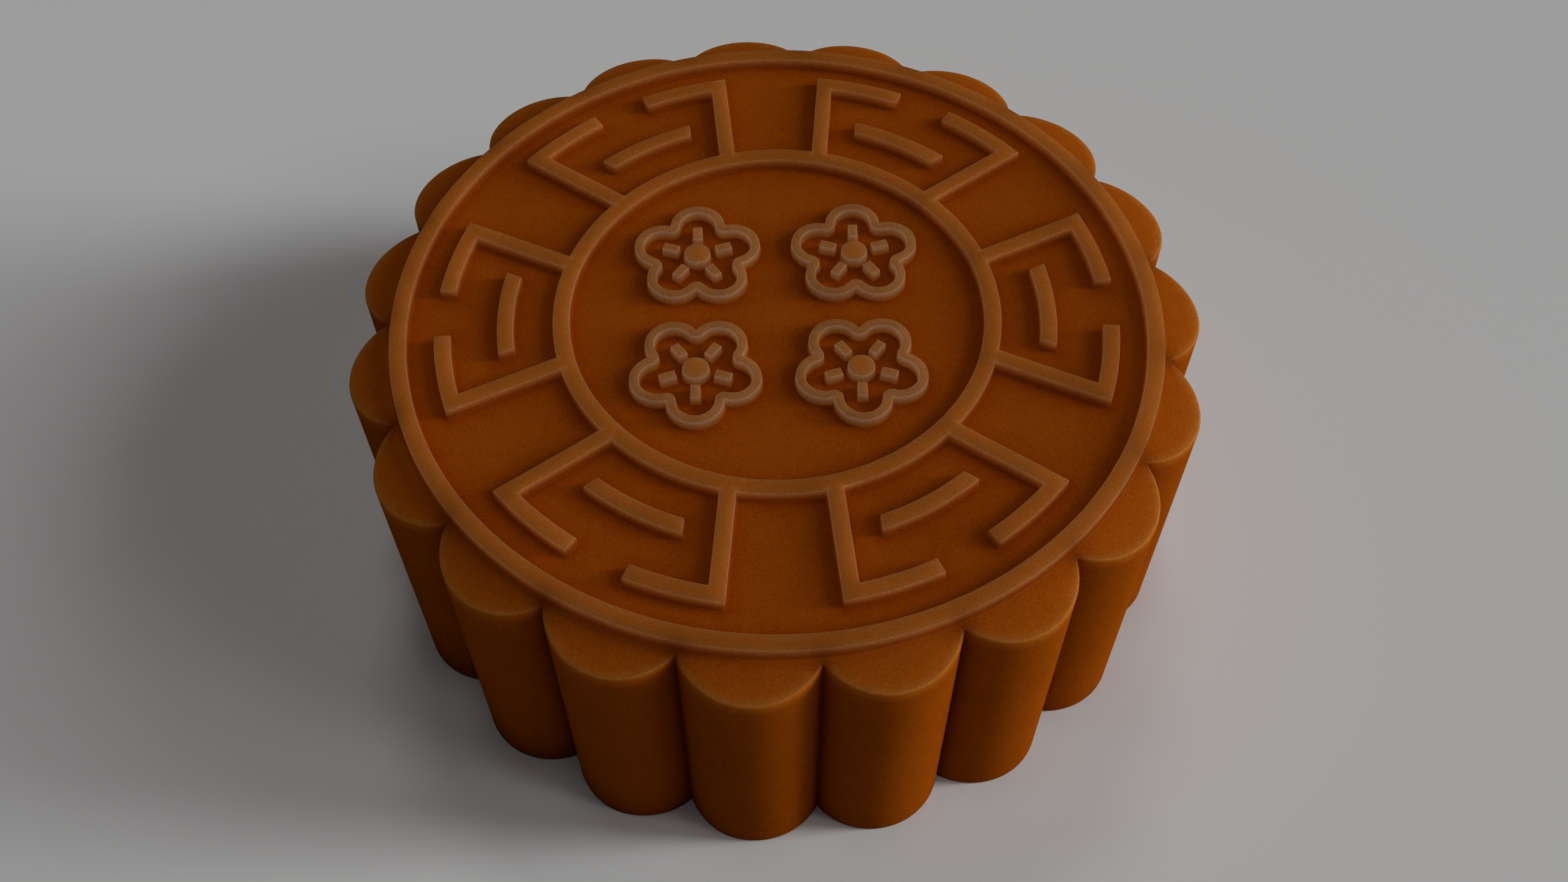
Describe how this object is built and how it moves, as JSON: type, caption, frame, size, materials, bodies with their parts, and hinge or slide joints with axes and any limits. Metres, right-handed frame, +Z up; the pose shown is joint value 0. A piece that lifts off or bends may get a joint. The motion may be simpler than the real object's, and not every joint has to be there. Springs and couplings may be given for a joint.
{
  "type": "mooncake",
  "caption": "Round moulded mooncake with a scalloped side and a flat top with raised rings, bracket motifs and blossoms; rests on its flat base.",
  "frame": {"origin": "centre of the flat base, on the axis that the lobes and rings share", "axes": "+Z up through the raised top; +X through the middle of one lobe and one bracket motif; +Y to the back"},
  "size_m": [0.0797, 0.0798, 0.0308],
  "materials": {
    "crust": "baked deep golden-brown pastry crust, matte, a little paler along its edges and raised lines"
  },
  "bodies": {
    "root": {"mooncake": "crust"}
  },
  "joints": []
}
